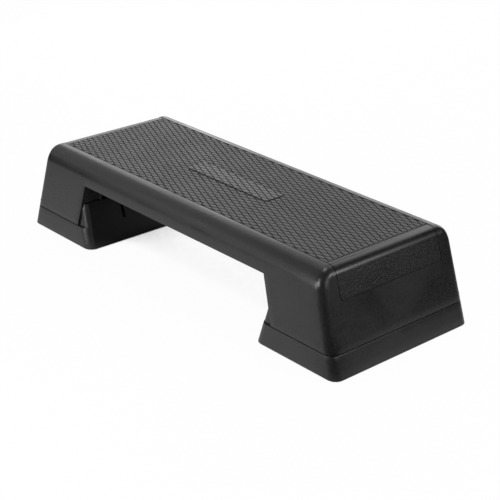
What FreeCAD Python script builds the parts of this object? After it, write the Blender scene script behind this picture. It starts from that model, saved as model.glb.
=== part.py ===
import FreeCAD, Part
import math
import os
import types

import Sketcher

# Aerobic step platform: a moulded shell on two plug-in feet, with a tread mat in a channel on top.
# Origin at floor level under the middle, +X along the length, +Y to the back, +Z up, millimetres.

SIZES = {
    # Shell, measured on the sharp outline that the roundings are cut from
    "overall_length": 984,       # at floor level, where the two end faces would meet the floor
    "overall_width": 368,        # at floor level, front to back
    "overall_height": 200,       # floor to the flat top of the shell
    "end_lean_share": 0.2895,    # inward run of each end face per rise
    "side_lean_share": 0.0491,   # inward run of the front and back faces per rise
    "end_rounding": 23,          # radius over the end edges of the top
    "side_rounding": 39,         # radius along the front and back edges of the top
    "corner_radius": 15,         # upright corners, in plan
    "least_corner_share": 0.1,   # what is left of the corner radius where it runs out on the top
    "shell_wall": 4,
    "beam_depth": 53,            # top of the shell to its lower edge between the legs
    "leg_length": 204,           # overall end at floor level to a leg's inner edge under the beam
    "arch_lean_share": 0.2773,   # outward run of a leg's inner edge per drop
    # Channel over the top and both ends, with the mat and the end covers in it
    "channel_setback": 1.05,     # channel's side walls in from the start of the side roundings
    "channel_depth": 3,
    "mat_setback": 6.3,          # mat's ends in from the start of the end roundings
    "mat_gap": 1.5,              # mat to the channel's side walls
    "mat_corner": 2,
    "tile_length": 29.68,        # diamond tiles of the mat, from tip to tip along the length
    "tile_width": 13.12,         # and from front to back
    "groove_width": 1.5,
    "groove_depth": 1.7,
    "plate_moat": 1.6,           # groove round the raised plate
    "plate_length": 253,
    "plate_width": 52,
    "plate_corner": 10,
    "plate_rise": 1.2,
    "cover_recess": 0.6,         # cover's face below the shell's face
    "cover_gap": 0.5,            # cover to the channel's side walls and to the mat
    "cover_drop": 62,            # top of the shell to the lower edge of the cover on the end face
    # Ribs and flanges of the shell
    "rib_wall": 3,
    "rib_setback": 8,            # rib edge above the beam's lower edge
    "fin_spacing": 77,           # middle to each locating fin
    "fin_wall": 5,
    "fin_length": 36,
    "fin_rise": 6,               # fin's lower end above the floor of its slot
    "flange_width": 48,
    "flange_gap": 2,             # flange above the foot's top
    "lip_length": 8,
    "post_diameter": 15,         # corner posts inside the legs
    "post_height": 13,
    "post_overlap": 1.5,         # post sunk into the front or back wall
    "deck_pad_diameter": 13,
    "deck_stem_diameter": 6,
    "deck_stem_length": 8,
    # Feet
    "foot_length": 222,          # at floor level
    "foot_height": 100,
    "plinth_height": 47,
    "rim_gap": 1.6,              # shadow gap between the plinth and the shell's rim
    "plug_gap": 1,               # plug to the inside of the leg
    "plug_inner_corner": 15,
    "plug_outer_corner": 46,
    "foot_wall": 4,
    "slot_width": 8,
    "slot_rise": 1,              # slot's floor above the top of the plinth
    "foot_rib_rise": 12,         # lower edge of the foot's ribs above the floor
    "pad_post_diameter": 30,
    "pad_post_inset": 30,        # pad centre from the foot's ends, at floor level
    "pad_side_inset": 20,        # pad centre from the front and back faces, at floor level
    "pad_post_sink": 2,          # post top below the plinth's top
    "foot_pad_diameter": 26,
    "foot_pad_thickness": 4,
    "foot_pad_proud": 1.5,       # pad below the foot's rim
    "foot_stem_diameter": 8,
    "foot_stem_length": 9,
    # Fits
    "stem_clearance": 0.15,      # stem to hole, each side and at the end
    "fin_clearance": 1.5,        # fin to the end of its slot
    "overrun": 10,               # how far every cut runs past the solid
}

doc = FreeCAD.newDocument("aerobic_step")
sheet = doc.addObject("Spreadsheet::Sheet", "Size")
for row, (alias, number) in enumerate(SIZES.items(), 1):
    sheet.set(f"A{row}", alias)
    sheet.set(f"B{row}", str(number))
    sheet.setAlias(f"B{row}", alias)
doc.recompute()


class Formula:
    """A size worked out from the sheet: its expression in the document and its present value."""

    def __init__(self, text, value):
        self.text = text
        self.value = value

    def joined(self, sign, other, value):
        return Formula(f"({self.text} {sign} {other.text})", value)

    def __add__(self, other):
        other = formula(other)
        return self.joined("+", other, self.value + other.value)

    def __radd__(self, other):
        return formula(other) + self

    def __sub__(self, other):
        other = formula(other)
        return self.joined("-", other, self.value - other.value)

    def __rsub__(self, other):
        return formula(other) - self

    def __mul__(self, other):
        other = formula(other)
        return self.joined("*", other, self.value * other.value)

    def __rmul__(self, other):
        return formula(other) * self

    def __truediv__(self, other):
        other = formula(other)
        return self.joined("/", other, self.value / other.value)

    def __neg__(self):
        return formula(-1) * self


def formula(thing):
    if isinstance(thing, Formula):
        return thing
    return Formula(repr(thing), thing)


def root(thing):
    """Square root, with what rounding leaves just under zero taken as zero."""
    return Formula(f"sqrt(max({thing.text}; 0))", math.sqrt(max(thing.value, 0)))


size = types.SimpleNamespace(**{alias: Formula(f"Size.{alias}", number) for alias, number in SIZES.items()})


def new_body(name):
    body = doc.addObject("PartDesign::Body", name)
    body.Label = name
    return body


def moulded(name, bodies):
    """One moulding fused from the bodies of its walls, ribs and posts."""
    fuse = doc.addObject("Part::MultiFuse", name)
    fuse.Label = name
    fuse.Shapes = bodies
    return fuse


def plate(name, plane, place, corners, thickness):
    """Flat rib: an outline on an origin plane moved to its place, thickened half to each side."""
    body = new_body(name)
    sketch = outline(body, f"{name}_outline", plane, place, corners)
    extrude(body, f"{name}_pad", "Pad", sketch, thickness, both_ways=True)
    return body


def drilled_post(name, centre, low, height, diameter, stem_diameter, stem_length):
    """Round post with a blind hole in its lower end for the stem of a push-in pad."""
    body = new_body(name)
    sketch = disc(body, f"{name}_outline", low, centre, diameter)
    extrude(body, f"{name}_pad", "Pad", sketch, height)
    sketch = disc(body, f"{name}_hole_outline", low, centre, stem_diameter + size.stem_clearance * 2)
    extrude(body, f"{name}_hole", "Pocket", sketch, stem_length + size.stem_clearance, downward=True)
    return body


def origin_part(body, role):
    return next(item for item in body.Origin.OriginFeatures if item.Role == role)


def outline(body, name, plane, level, *loops):
    """Sketch of closed loops on an origin plane, moved out along its normal to level.

    A loop's corners are (x, y) or (x, y, (centre x, centre y), radius, turn): the last form starts an arc
    to the next corner, turned anticlockwise for turn 1 and clockwise for turn -1. Every corner is tied to
    the sheet by its two coordinates, and every arc by its radius.
    """
    sketch = body.newObject("Sketcher::SketchObject", name)
    sketch.AttachmentSupport = (origin_part(body, plane), "")
    sketch.MapMode = "FlatFace"
    sketch.setExpression("AttachmentOffset.Base.z", formula(level).text)
    for corners in loops:
        draw_loop(sketch, corners)
    return sketch


def draw_loop(sketch, corners):
    """Lines and arcs of one closed loop, with the constraints that tie it to the sheet."""
    points = [FreeCAD.Vector(formula(c[0]).value, formula(c[1]).value, 0) for c in corners]
    edges = []
    for index, corner in enumerate(corners):
        here = points[index]
        there = points[(index + 1) % len(points)]
        if len(corner) == 2:
            edges.append((sketch.addGeometry(Part.LineSegment(here, there), False), 1, 2))
            continue
        centre = FreeCAD.Vector(corner[2][0].value, corner[2][1].value, 0)
        first, last = (here, there) if corner[4] > 0 else (there, here)
        angles = [math.atan2(p.y - centre.y, p.x - centre.x) for p in (first, last)]
        circle = Part.Circle(centre, FreeCAD.Vector(0, 0, 1), corner[3].value)
        start, end = (1, 2) if corner[4] > 0 else (2, 1)
        edges.append((sketch.addGeometry(Part.ArcOfCircle(circle, angles[0], angles[1]), False), start, end))
    for (edge, _, end), (next_edge, next_start, _) in zip(edges, edges[1:] + edges[:1]):
        sketch.addConstraint(Sketcher.Constraint("Coincident", edge, end, next_edge, next_start))
    for corner, (edge, start, _) in zip(corners, edges):
        for kind, place in (("DistanceX", corner[0]), ("DistanceY", corner[1])):
            place = formula(place)
            ends = (-1, 1, edge, start)
            if place.value < 0:
                ends = (edge, start, -1, 1)
                place = -place
            added = sketch.addConstraint(Sketcher.Constraint(kind, *ends, place.value))
            sketch.setExpression(f"Constraints[{added}]", place.text)
        if len(corner) > 2:
            added = sketch.addConstraint(Sketcher.Constraint("Radius", edge, corner[3].value))
            sketch.setExpression(f"Constraints[{added}]", corner[3].text)


def rounded(near, far, half_width, near_radius, far_radius):
    """Corners of a flat rounded rectangle from x near to x far, with a radius for each end."""
    way = 1 if far.value > near.value else -1
    return [
        (near + way * near_radius, -half_width),
        (far - way * far_radius, -half_width,
         (far - way * far_radius, far_radius - half_width), far_radius, way),
        (far, far_radius - half_width),
        (far, half_width - far_radius,
         (far - way * far_radius, half_width - far_radius), far_radius, way),
        (far - way * far_radius, half_width),
        (near + way * near_radius, half_width,
         (near + way * near_radius, half_width - near_radius), near_radius, way),
        (near, half_width - near_radius),
        (near, near_radius - half_width,
         (near + way * near_radius, near_radius - half_width), near_radius, way),
    ]


def ruled_loft(body, name, kind, sections):
    """Straight-sided loft through flat sections given as (height, corners), bottom first."""
    sketches = [outline(body, f"{name}_section_{number}", "XY_Plane", height, corners)
                for number, (height, corners) in enumerate(sections)]
    loft = body.newObject(f"PartDesign::{kind}Loft", name)
    loft.Profile = sketches[0]
    loft.Sections = sketches[1:]
    loft.Ruled = True
    return loft


def extrude(body, name, kind, sketch, length, both_ways=False, downward=False):
    """Pad or Pocket of a sketch by a bound length, on one side of it or half on each side."""
    feature = body.newObject(f"PartDesign::{kind}", name)
    feature.Profile = sketch
    feature.SideType = "Symmetric" if both_ways else "One side"
    feature.Reversed = downward
    feature.setExpression("Length", formula(length).text)
    return feature


def disc(body, name, level, centre, diameter):
    """Circle sketch at a height, centred by two bound coordinates."""
    sketch = body.newObject("Sketcher::SketchObject", name)
    sketch.AttachmentSupport = (origin_part(body, "XY_Plane"), "")
    sketch.MapMode = "FlatFace"
    sketch.setExpression("AttachmentOffset.Base.z", formula(level).text)
    point = FreeCAD.Vector(centre[0].value, centre[1].value, 0)
    sketch.addGeometry(Part.Circle(point, FreeCAD.Vector(0, 0, 1), diameter.value / 2), False)
    added = sketch.addConstraint(Sketcher.Constraint("Diameter", 0, diameter.value))
    sketch.setExpression(f"Constraints[{added}]", diameter.text)
    for kind, place in (("DistanceX", centre[0]), ("DistanceY", centre[1])):
        ends = (-1, 1, 0, 3)
        if place.value < 0:
            ends = (0, 3, -1, 1)
            place = -place
        added = sketch.addConstraint(Sketcher.Constraint(kind, *ends, place.value))
        sketch.setExpression(f"Constraints[{added}]", place.text)
    return sketch


class LeaningFace:
    """One pair of opposite faces of the shell: they lean in as they rise, then round over into the top."""

    def __init__(self, span, lean, rounding):
        self.half = span / 2
        self.lean = lean
        self.rounding = rounding
        self.slant = root(1 + lean * lean)
        self.centre_height = size.overall_height - rounding
        top = self.half - lean * size.overall_height
        self.centre = top - rounding * (self.slant - lean)

    def turn_height(self, inset):
        """Height where the flat face, moved in by inset, becomes the rounding."""
        return self.centre_height + (self.rounding - inset) * self.lean / self.slant

    def reach(self, height, inset):
        """Distance of the face from the middle at a height, moved in by inset along its normal."""
        if height.value <= self.turn_height(inset).value:
            return self.half - self.lean * height - inset * self.slant
        radius = self.rounding - inset
        rise = height - self.centre_height
        return self.centre + root(radius * radius - rise * rise)

    def fullness(self, height, inset):
        """1 on the flat face, falling to 0 where the rounding meets the top."""
        if height.value <= self.turn_height(inset).value:
            return formula(1)
        return (self.reach(height, inset) - self.centre) / (self.rounding - inset)


end_face = LeaningFace(size.overall_length, size.end_lean_share, size.end_rounding)
side_face = LeaningFace(size.overall_width, size.side_lean_share, size.side_rounding)

rim = size.plinth_height + size.rim_gap
end_wall = size.channel_depth + size.shell_wall
top_inside = size.overall_height - end_wall
beam_low = size.overall_height - size.beam_depth
arch_half_length = size.overall_length / 2 - size.leg_length
channel_half_width = side_face.centre - size.channel_setback
mat_half_length = end_face.centre - size.mat_setback
cover_low = size.overall_height - size.cover_drop
slot_floor = size.plinth_height + size.slot_rise


def arch_edge(height):
    """Distance from the middle to a leg's inner edge at a height."""
    return arch_half_length + (beam_low - height) * size.arch_lean_share


def shell_section(height, end_inset, side_inset):
    """Rounded rectangle of the shell at a height, moved in by the two insets."""
    reach = end_face.reach(height, end_inset)
    fullness = root(end_face.fullness(height, end_inset) * side_face.fullness(height, side_inset))
    if fullness.value < size.least_corner_share.value:
        fullness = size.least_corner_share
    radius = (size.corner_radius - side_inset) * fullness
    return height, rounded(-reach, reach, side_face.reach(height, side_inset), radius, radius)


def shell_levels(bottom, top, end_inset, side_inset, shares):
    """Heights of the shell's sections: straight up to the side rounding, then closer towards the top."""
    turn = side_face.turn_height(side_inset)
    levels = [bottom, turn, end_face.turn_height(end_inset)]
    levels += [turn + (top - turn) * share for share in shares]
    return sorted(levels, key=lambda level: level.value)


def rib_outline(low, high):
    """Front-to-back rib from a height up into the top, sunk half way into the side walls."""
    turn = side_face.turn_height(size.shell_wall)
    sunk = size.shell_wall / 2
    foot = side_face.reach(low, sunk)
    knee = side_face.reach(turn, sunk)
    return [(-foot, low), (foot, low), (knee, turn), (side_face.centre, high),
            (-side_face.centre, high), (-knee, turn)]


def make_deck_shell():
    body = new_body("deck_walls")
    outer_shares = (0.3, 0.75, 0.9, 0.97, 1)
    inner_shares = (0.3, 0.82, 0.95, 1)
    nothing = formula(0)
    levels = shell_levels(rim, size.overall_height, nothing, nothing, outer_shares)
    ruled_loft(body, "outside", "Additive", [shell_section(level, nothing, nothing) for level in levels])
    levels = shell_levels(rim - size.overrun, top_inside, end_wall, size.shell_wall, inner_shares)
    ruled_loft(body, "hollow", "Subtractive",
               [shell_section(level, end_wall, size.shell_wall) for level in levels])

    # Arch between the legs, cut from front to back
    low = rim - size.overrun
    arch = outline(body, "arch_outline", "XZ_Plane", 0, [
        (-arch_edge(low), low), (arch_edge(low), low),
        (arch_half_length, beam_low), (-arch_half_length, beam_low)])
    extrude(body, "arch", "Pocket", arch, size.overall_width + size.overrun, both_ways=True)

    # Channel over the top and down both ends
    low = cover_low - size.cover_gap
    outer = size.overall_length / 2
    high = size.overall_height + size.overrun
    floor_height = size.overall_height - size.channel_depth
    turn = end_face.turn_height(size.channel_depth)
    bend = end_face.rounding - size.channel_depth
    right_centre = (end_face.centre, end_face.centre_height)
    left_centre = (-end_face.centre, end_face.centre_height)
    channel = outline(body, "channel_outline", "XZ_Plane", 0, [
        (end_face.reach(low, size.channel_depth), low),
        (end_face.reach(turn, size.channel_depth), turn, right_centre, bend, 1),
        (end_face.centre, floor_height),
        (-end_face.centre, floor_height, left_centre, bend, 1),
        (-end_face.reach(turn, size.channel_depth), turn),
        (-end_face.reach(low, size.channel_depth), low),
        (-outer, low), (-outer, high), (outer, high), (outer, low)])
    extrude(body, "channel", "Pocket", channel, channel_half_width * 2, both_ways=True)

    # Ribs under the tread, from front to back and along the length
    bodies = [body]
    rib_low = beam_low + size.rib_setback
    rib_high = top_inside + size.shell_wall / 2
    cross_count = 9
    rib_pitch = arch_half_length * 2 / (cross_count - 1)
    for number in range(cross_count):
        place = rib_pitch * number - arch_half_length
        bodies.append(plate(f"cross_rib_{number}", "YZ_Plane", place,
                            rib_outline(rib_low, rib_high), size.rib_wall))
    sunk = end_wall / 2
    turn = end_face.turn_height(sunk)
    low_reach = end_face.reach(rib_low, sunk)
    turn_reach = end_face.reach(turn, sunk)
    for number, place in enumerate((-size.fin_spacing, formula(0), size.fin_spacing)):
        bodies.append(plate(f"long_rib_{number}", "XZ_Plane", place, [
            (-low_reach, rib_low), (low_reach, rib_low), (turn_reach, turn),
            (end_face.centre, rib_high), (-end_face.centre, rib_high), (-turn_reach, turn)], size.rib_wall))

    for end, way in (("left", -1), ("right", 1)):
        # Bearing rib that stands on the foot's top
        middle = way * (size.overall_length - size.foot_length) / 2
        bodies.append(plate(f"{end}_bearing_rib", "YZ_Plane", middle,
                            rib_outline(size.foot_height, rib_high), size.shell_wall))
        # Fins that hang into the foot's slots
        fin_low = slot_floor + size.fin_rise
        fin_in = arch_edge(size.foot_height) + size.shell_wall
        fin_out = fin_in + size.fin_length
        for number, place in enumerate((-size.fin_spacing, size.fin_spacing)):
            bodies.append(plate(f"{end}_fin_{number}", "XZ_Plane", place, [
                (way * fin_in, fin_low), (way * fin_out, fin_low),
                (way * fin_out, rib_high), (way * fin_in, rib_high)], size.fin_wall))
        for side, hand in (("front", -1), ("back", 1)):
            # Return flange in the plane of the leg's inner edge, with a lip along its free edge
            sections = []
            free = side_face.reach(rim, size.shell_wall) - size.flange_width
            for height in (size.foot_height + size.flange_gap, side_face.turn_height(size.shell_wall)):
                edge = arch_edge(height)
                wall = side_face.reach(height, size.shell_wall / 2)
                sections.append((height, [
                    (way * edge, hand * wall), (way * (edge + size.shell_wall), hand * wall),
                    (way * (edge + size.shell_wall), hand * free),
                    (way * (edge - size.lip_length), hand * free),
                    (way * (edge - size.lip_length), hand * (free + size.shell_wall)),
                    (way * edge, hand * (free + size.shell_wall))]))
            flange = new_body(f"{end}_{side}_flange")
            ruled_loft(flange, f"{end}_{side}_flange_loft", "Additive", sections)
            bodies.append(flange)
            # Corner post that holds a push-in pad
            bodies.append(drilled_post(f"{end}_{side}_post", post_centre(way, hand), rim, size.post_height,
                                       size.post_diameter, size.deck_stem_diameter, size.deck_stem_length))
    return moulded("deck_shell", bodies)


def post_centre(way, hand):
    """Plan position of a corner post: clear of the end wall at the rim, sunk into the side wall."""
    radius = size.post_diameter / 2
    along = end_face.reach(rim, end_wall) - radius - size.plug_gap
    across = side_face.reach(rim, size.shell_wall) - radius + size.post_overlap
    return way * along, hand * across


def make_tread_mat():
    body = new_body("tread_mat")
    low = size.overall_height - size.channel_depth
    half_width = channel_half_width - size.mat_gap
    sketch = outline(body, "mat_outline", "XY_Plane", low,
                     rounded(-mat_half_length, mat_half_length, half_width, size.mat_corner, size.mat_corner))
    extrude(body, "mat", "Pad", sketch, size.channel_depth)

    # Main grooves along both slants of the diamond tiles, one for every three tiles
    groove_stride = 3
    pitch = size.tile_length * groove_stride
    slant = size.tile_length / size.tile_width
    reach = half_width + size.overrun
    half_groove = size.groove_width / 2 * root(1 + slant * slant)
    last = mat_half_length + slant * half_width - size.tile_length
    count = int(last.value / pitch.value)
    for lean, way in (("left", -1), ("right", 1)):
        loops = []
        for number in range(-count, count + 1):
            front = pitch * number - way * slant * reach
            back = pitch * number + way * slant * reach
            loops.append([(front - half_groove, -reach), (front + half_groove, -reach),
                          (back + half_groove, reach), (back - half_groove, reach)])
        sketch = outline(body, f"{lean}_grooves_outline", "XY_Plane", size.overall_height, *loops)
        extrude(body, f"{lean}_grooves", "Pocket", sketch, size.groove_depth)

    # Raised plate that stands on the grooves' floor, in a groove of its own
    half = size.plate_length / 2 + size.plate_moat
    corner = size.plate_corner + size.plate_moat
    sketch = outline(body, "moat_outline", "XY_Plane", size.overall_height,
                     rounded(-half, half, size.plate_width / 2 + size.plate_moat, corner, corner))
    extrude(body, "moat", "Pocket", sketch, size.groove_depth)
    half = size.plate_length / 2
    sketch = outline(body, "plate_outline", "XY_Plane", size.overall_height - size.groove_depth,
                     rounded(-half, half, size.plate_width / 2, size.plate_corner, size.plate_corner))
    extrude(body, "plate", "Pad", sketch, size.groove_depth + size.plate_rise)
    return body


def make_end_cover(name, way):
    """Bent strip that lies on the channel's floor from the mat's end to the end face."""
    body = new_body(name)
    start = mat_half_length + size.cover_gap
    centre = (way * end_face.centre, end_face.centre_height)
    faces = []
    for inset in (size.channel_depth, size.cover_recess):
        turn = end_face.turn_height(inset)
        bend = end_face.rounding - inset
        low = (way * end_face.reach(cover_low, inset), cover_low)
        knee = (way * end_face.reach(turn, inset), turn)
        top = (way * end_face.centre, size.overall_height - inset)
        edge = (way * start, size.overall_height - inset)
        faces.append((low, knee, top, edge, bend))
    under, over = faces
    corners = [
        under[3],
        under[2] + (centre, under[4], -way),
        under[1],
        under[0],
        over[0],
        over[1] + (centre, over[4], way),
        over[2],
        over[3],
    ]
    sketch = outline(body, f"{name}_outline", "XZ_Plane", 0, corners)
    width = (channel_half_width - size.cover_gap) * 2
    extrude(body, f"{name}_strip", "Pad", sketch, width, both_ways=True)
    return body


def foot_section(way, height, end_inset, side_inset, inner_inset, inner_radius, outer_radius):
    """Rounded rectangle of a foot at a height: its inner wall leans out as it rises, its end face in."""
    near = size.overall_length / 2 - size.foot_length + end_face.lean * height + inner_inset * end_face.slant
    far = end_face.reach(height, end_inset)
    half_width = side_face.reach(height, side_inset)
    return height, rounded(way * near, way * far, half_width, inner_radius, outer_radius)


def foot_pad_centres(way):
    """Plan positions of a foot's four pads."""
    near = size.overall_length / 2 - size.foot_length + size.pad_post_inset
    far = size.overall_length / 2 - size.pad_post_inset
    across = size.overall_width / 2 - size.pad_side_inset
    return [(way * along, hand * across) for along in (near, far) for hand in (-1, 1)]


def make_foot(name, way):
    body = new_body(f"{name}_walls")
    nothing = formula(0)
    end_step = end_wall + size.plug_gap
    side_step = size.shell_wall + size.plug_gap
    plinth_inner = size.plug_inner_corner + side_step
    low = size.foot_pad_proud
    ruled_loft(body, "plinth", "Additive", [
        foot_section(way, height, nothing, nothing, nothing, plinth_inner, size.corner_radius)
        for height in (low, size.plinth_height)])
    ruled_loft(body, "plug", "Additive", [
        foot_section(way, height, end_step, side_step, nothing,
                     size.plug_inner_corner, size.plug_outer_corner)
        for height in (size.plinth_height, size.foot_height)])

    # Hollow under the plinth, then the taller hollow inside the plug
    wall = size.foot_wall
    ruled_loft(body, "plinth_hollow", "Subtractive", [
        foot_section(way, height, wall, wall, wall, plinth_inner - wall, size.corner_radius - wall)
        for height in (low - size.overrun, size.plinth_height - wall)])
    ruled_loft(body, "plug_hollow", "Subtractive", [
        foot_section(way, height, end_step + wall, side_step + wall, wall,
                     size.plug_inner_corner - wall, size.plug_outer_corner - wall)
        for height in (low - size.overrun, size.foot_height - wall)])

    # Rib under the line where the shell's bearing rib stands, and one across it
    bodies = [body]
    middle = way * (size.overall_length - size.foot_length) / 2
    under_top = size.foot_height - wall / 2
    sunk = side_step + wall / 2
    low_reach = side_face.reach(size.foot_rib_rise, sunk)
    top_reach = side_face.reach(under_top, sunk)
    bodies.append(plate(f"{name}_long_rib", "YZ_Plane", middle, [
        (-low_reach, size.foot_rib_rise), (low_reach, size.foot_rib_rise),
        (top_reach, under_top), (-top_reach, under_top)], size.rib_wall))
    spans = []
    for height in (size.foot_rib_rise, under_top):
        near = size.overall_length / 2 - size.foot_length + end_face.lean * height + wall / 2 * end_face.slant
        far = end_face.reach(height, end_step + wall / 2)
        spans.append([(way * near, height), (way * far, height)])
    corners = spans[0] + spans[1][::-1]
    bodies.append(plate(f"{name}_cross_rib", "XZ_Plane", formula(0), corners, size.rib_wall))

    # Slots through the inner wall and into the top, for the shell's fins
    slot_in = size.overall_length / 2 - size.foot_length
    slot_out = arch_edge(size.foot_height) + size.shell_wall + size.fin_length + size.fin_clearance
    for number, place in enumerate((-size.fin_spacing, size.fin_spacing)):
        low_side = place - size.slot_width / 2
        high_side = place + size.slot_width / 2
        sketch = outline(body, f"slot_outline_{number}", "XY_Plane", size.foot_height, [
            (way * slot_in, low_side), (way * slot_out, low_side),
            (way * slot_out, high_side), (way * slot_in, high_side)])
        extrude(body, f"slot_{number}", "Pocket", sketch, size.foot_height - slot_floor)

    # Posts that hold the push-in pads
    seat = size.foot_pad_thickness
    height = size.plinth_height - size.pad_post_sink - seat
    for number, centre in enumerate(foot_pad_centres(way)):
        bodies.append(drilled_post(f"{name}_pad_post_{number}", centre, seat, height, size.pad_post_diameter,
                                   size.foot_stem_diameter, size.foot_stem_length))
    return moulded(name, bodies)


def make_pad(name, centre, bottom, diameter, thickness, stem_diameter, stem_length):
    """Round rubber pad with a push-in stem standing on it."""
    body = new_body(name)
    sketch = disc(body, f"{name}_disc_outline", bottom, centre, diameter)
    extrude(body, f"{name}_disc", "Pad", sketch, thickness)
    sketch = disc(body, f"{name}_stem_outline", bottom + thickness, centre, stem_diameter)
    extrude(body, f"{name}_stem", "Pad", sketch, stem_length)
    return body


pieces = [make_deck_shell(), make_tread_mat()]
for end, way in (("left", -1), ("right", 1)):
    pieces.append(make_end_cover(f"{end}_end_cover", way))
    pieces.append(make_foot(f"{end}_foot", way))
    for number, centre in enumerate(foot_pad_centres(way), 1):
        pieces.append(make_pad(
            f"{end}_foot_pad_{number}", centre, formula(0), size.foot_pad_diameter,
            size.foot_pad_thickness, size.foot_stem_diameter, size.foot_stem_length))
    for number, hand in enumerate((-1, 1), 1):
        pieces.append(make_pad(
            f"{end}_deck_pad_{number}", post_centre(way, hand), size.plinth_height, size.deck_pad_diameter,
            size.rim_gap, size.deck_stem_diameter, size.deck_stem_length))

doc.recompute()
for item in doc.Objects:
    if "Invalid" in item.State or "Error" in item.State:
        raise RuntimeError(f"{item.Label} failed: {item.State}")
for piece in pieces:
    if piece.Shape.isNull() or not piece.Shape.isValid() or len(piece.Shape.Solids) != 1:
        raise RuntimeError(f"{piece.Label} is not one valid solid")

os.makedirs("parts", exist_ok=True)
for piece in pieces:
    piece.Shape.exportStep(f"parts/{piece.Label}.step")
    box = piece.Shape.BoundBox
    print(f"{piece.Label}: volume {piece.Shape.Volume:.0f} mm3, "
          f"x {box.XMin:.2f} to {box.XMax:.2f}, y {box.YMin:.2f} to {box.YMax:.2f}, "
          f"z {box.ZMin:.2f} to {box.ZMax:.2f}")
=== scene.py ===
import math

import bmesh
import bpy
import numpy as np
from mathutils import Matrix, Vector


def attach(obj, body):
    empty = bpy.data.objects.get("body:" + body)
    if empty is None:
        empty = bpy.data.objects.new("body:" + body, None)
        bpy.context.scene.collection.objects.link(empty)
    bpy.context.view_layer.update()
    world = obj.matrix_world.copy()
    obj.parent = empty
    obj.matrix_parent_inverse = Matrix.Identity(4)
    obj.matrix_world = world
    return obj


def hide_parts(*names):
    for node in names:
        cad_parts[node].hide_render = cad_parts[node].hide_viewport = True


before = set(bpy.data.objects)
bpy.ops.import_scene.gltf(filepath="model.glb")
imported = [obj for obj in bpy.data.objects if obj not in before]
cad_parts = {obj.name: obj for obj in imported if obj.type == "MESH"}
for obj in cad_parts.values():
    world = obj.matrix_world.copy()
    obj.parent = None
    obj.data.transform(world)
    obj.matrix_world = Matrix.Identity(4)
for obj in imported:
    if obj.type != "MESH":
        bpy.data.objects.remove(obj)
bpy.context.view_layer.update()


# Deck shell. One black plastic moulding: a long rounded top on two leaning legs that are open towards the
# middle. The walls are 4 mm thick, with ribs under the tread, locating fins and return flanges in the legs.
# A shallow channel for the mat and the end covers runs over the top and down both ends.

deck_height = 0.200
rim_height = 0.0486
side_wall, end_wall = 0.004, 0.007
end_half, end_lean, end_round = 0.492, 0.2895, 0.023
side_half, side_lean, side_round = 0.184, 0.0491, 0.039
arch_half, arch_lean, beam_low = 0.288, 0.2773, 0.147
channel_half, channel_depth, channel_low, channel_corner = 0.136, 0.003, 0.1375, 0.006
upright_bend, hollow_bend, least_bend, soft_edge = 0.020, 0.016, 0.0004, 0.0008
beam_steps, edge_steps, leg_steps, bend_steps, flank_steps, middle_steps = 12, 3, 9, 12, 4, 12
round_rows, hollow_rows = 36, 16
soft_shares = np.array([0, 0.134, 0.5, 1])


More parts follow.
